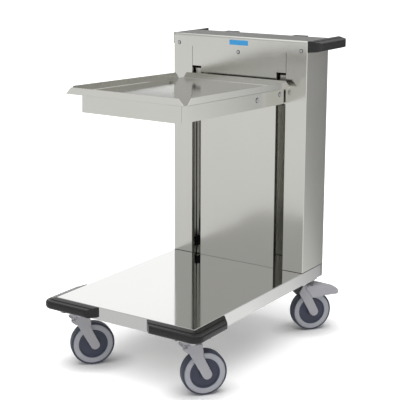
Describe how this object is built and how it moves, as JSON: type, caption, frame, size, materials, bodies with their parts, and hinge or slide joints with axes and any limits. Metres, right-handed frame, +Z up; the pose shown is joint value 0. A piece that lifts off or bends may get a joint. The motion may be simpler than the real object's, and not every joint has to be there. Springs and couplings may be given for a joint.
{
  "type": "mobile tray dispenser",
  "caption": "Wheeled stainless tray dispenser: low deck, slotted column and a sprung tray platform that slides down it, with corner guards, push handles and braked swivel castors.",
  "frame": {"origin": "middle of the bounding box, on the floor under the wheels", "axes": "+X across the trolley to the right of a person who stands at the deck end and faces the column, +Y from the deck end to the column and the push handles, +Z up"},
  "size_m": [0.5472, 0.815, 0.9053],
  "materials": {
    "polished_sheet": "bright polished stainless sheet",
    "inner_steel": "plain stainless steel",
    "zinc_steel": "zinc plated steel",
    "spring_steel": "oiled spring steel",
    "black_plastic": "satin moulded plastic",
    "grey_plastic": "smooth moulded plastic",
    "hub_plastic": "smooth moulded plastic",
    "ring_plastic": "smooth moulded plastic",
    "tread": "smooth rubber tread",
    "stop_rubber": "dull rubber",
    "roller_plastic": "smooth turned plastic",
    "label_plate": "plain plate without text"
  },
  "bodies": {
    "chassis": {"base_deck": "polished_sheet", "front_castor_channel": "inner_steel", "rear_castor_channel": "inner_steel", "column_housing": "polished_sheet", "column_rear_cover": "polished_sheet", "column_face_screws": "zinc_steel", "rear_cover_screws": "zinc_steel", "blank_label_plate": "label_plate", "spring_hanger_bar": "inner_steel", "travel_stop_pads": "stop_rubber", "rear_buffer_pads": "black_plastic", "left_guide_rail": "inner_steel", "left_tension_springs": "spring_steel", "left_corner_bumper": "black_plastic", "left_push_handle": "black_plastic", "right_guide_rail": "inner_steel", "right_tension_springs": "spring_steel", "right_corner_bumper": "black_plastic", "right_push_handle": "black_plastic", "front_left_castor_plate": "zinc_steel", "front_right_castor_plate": "zinc_steel", "rear_left_castor_plate": "zinc_steel", "rear_right_castor_plate": "zinc_steel"},
    "platform": {"carriage_plate": "inner_steel", "spring_lower_bar": "inner_steel", "tray_support_frame": "polished_sheet", "tray_pan": "polished_sheet", "tray_frame_screws": "zinc_steel", "left_platform_arm": "inner_steel", "right_platform_arm": "inner_steel"},
    "left_lower_roller": {"left_lower_guide_roller": "roller_plastic"},
    "left_upper_roller": {"left_upper_guide_roller": "roller_plastic"},
    "right_lower_roller": {"right_lower_guide_roller": "roller_plastic"},
    "right_upper_roller": {"right_upper_guide_roller": "roller_plastic"},
    "front_left_swivel": {"front_left_castor_fork": "grey_plastic", "front_left_castor_axle": "zinc_steel"},
    "front_left_wheel": {"front_left_castor_wheel_core": "hub_plastic", "front_left_castor_wheel_ring": "ring_plastic", "front_left_castor_tyre": "tread"},
    "front_right_swivel": {"front_right_castor_fork": "grey_plastic", "front_right_castor_axle": "zinc_steel"},
    "front_right_wheel": {"front_right_castor_wheel_core": "hub_plastic", "front_right_castor_wheel_ring": "ring_plastic", "front_right_castor_tyre": "tread"},
    "rear_left_swivel": {"rear_left_castor_fork": "grey_plastic", "rear_left_castor_axle": "zinc_steel", "rear_left_castor_brake_cap": "black_plastic"},
    "rear_left_wheel": {"rear_left_castor_wheel_core": "hub_plastic", "rear_left_castor_wheel_ring": "ring_plastic", "rear_left_castor_tyre": "tread"},
    "rear_left_pedal": {"rear_left_castor_brake_pedal": "grey_plastic"},
    "rear_right_swivel": {"rear_right_castor_fork": "grey_plastic", "rear_right_castor_axle": "zinc_steel", "rear_right_castor_brake_cap": "black_plastic"},
    "rear_right_wheel": {"rear_right_castor_wheel_core": "hub_plastic", "rear_right_castor_wheel_ring": "ring_plastic", "rear_right_castor_tyre": "tread"},
    "rear_right_pedal": {"rear_right_castor_brake_pedal": "grey_plastic"}
  },
  "joints": [
    {"name": "platform_slide", "type": "slide", "parent": "chassis", "child": "platform", "axis": [0, 0, 1], "range_m": [-0.49, 0], "stiffness_N_per_m": 500, "springref_m": 0.3, "deforming": ["left_tension_springs", "right_tension_springs"]},
    {"name": "left_lower_roller_spin", "type": "hinge", "parent": "platform", "child": "left_lower_roller", "pos_m": [-0.1946, 0.241, 0.757], "axis": [1, 0, 0], "continuous": true},
    {"name": "left_upper_roller_spin", "type": "hinge", "parent": "platform", "child": "left_upper_roller", "pos_m": [-0.1946, 0.241, 0.857], "axis": [1, 0, 0], "continuous": true},
    {"name": "right_lower_roller_spin", "type": "hinge", "parent": "platform", "child": "right_lower_roller", "pos_m": [0.1774, 0.241, 0.757], "axis": [1, 0, 0], "continuous": true},
    {"name": "right_upper_roller_spin", "type": "hinge", "parent": "platform", "child": "right_upper_roller", "pos_m": [0.1774, 0.241, 0.857], "axis": [1, 0, 0], "continuous": true},
    {"name": "front_left_swivel_turn", "type": "hinge", "parent": "chassis", "child": "front_left_swivel", "pos_m": [-0.1996, -0.334, 0.14], "axis": [0, 0, 1], "continuous": true},
    {"name": "front_left_wheel_spin", "type": "hinge", "parent": "front_left_swivel", "child": "front_left_wheel", "pos_m": [-0.17517, -0.30489, 0.0625], "axis": [0.766, -0.6428, 0], "continuous": true},
    {"name": "front_right_swivel_turn", "type": "hinge", "parent": "chassis", "child": "front_right_swivel", "pos_m": [0.1824, -0.334, 0.14], "axis": [0, 0, 1], "continuous": true},
    {"name": "front_right_wheel_spin", "type": "hinge", "parent": "front_right_swivel", "child": "front_right_wheel", "pos_m": [0.20683, -0.30489, 0.0625], "axis": [0.766, -0.6428, 0], "continuous": true},
    {"name": "rear_left_swivel_turn", "type": "hinge", "parent": "chassis", "child": "rear_left_swivel", "pos_m": [-0.1996, 0.266, 0.14], "axis": [0, 0, 1], "continuous": true},
    {"name": "rear_left_wheel_spin", "type": "hinge", "parent": "rear_left_swivel", "child": "rear_left_wheel", "pos_m": [-0.17517, 0.29511, 0.0625], "axis": [0.766, -0.6428, 0], "continuous": true},
    {"name": "rear_left_pedal_press", "type": "hinge", "parent": "rear_left_swivel", "child": "rear_left_pedal", "pos_m": [-0.1861, 0.28209, 0.139], "axis": [-0.766, 0.6428, 0], "range_deg": [0, 8]},
    {"name": "rear_right_swivel_turn", "type": "hinge", "parent": "chassis", "child": "rear_right_swivel", "pos_m": [0.1824, 0.266, 0.14], "axis": [0, 0, 1], "continuous": true},
    {"name": "rear_right_wheel_spin", "type": "hinge", "parent": "rear_right_swivel", "child": "rear_right_wheel", "pos_m": [0.20683, 0.29511, 0.0625], "axis": [0.766, -0.6428, 0], "continuous": true},
    {"name": "rear_right_pedal_press", "type": "hinge", "parent": "rear_right_swivel", "child": "rear_right_pedal", "pos_m": [0.1959, 0.28209, 0.139], "axis": [-0.766, 0.6428, 0], "range_deg": [0, 8]}
  ],
  "couplings": [
    {"joint": "left_lower_roller_spin", "follows": "platform_slide", "rad_per_m": -104.17},
    {"joint": "left_upper_roller_spin", "follows": "platform_slide", "rad_per_m": 104.17},
    {"joint": "right_lower_roller_spin", "follows": "platform_slide", "rad_per_m": -104.17},
    {"joint": "right_upper_roller_spin", "follows": "platform_slide", "rad_per_m": 104.17}
  ]
}
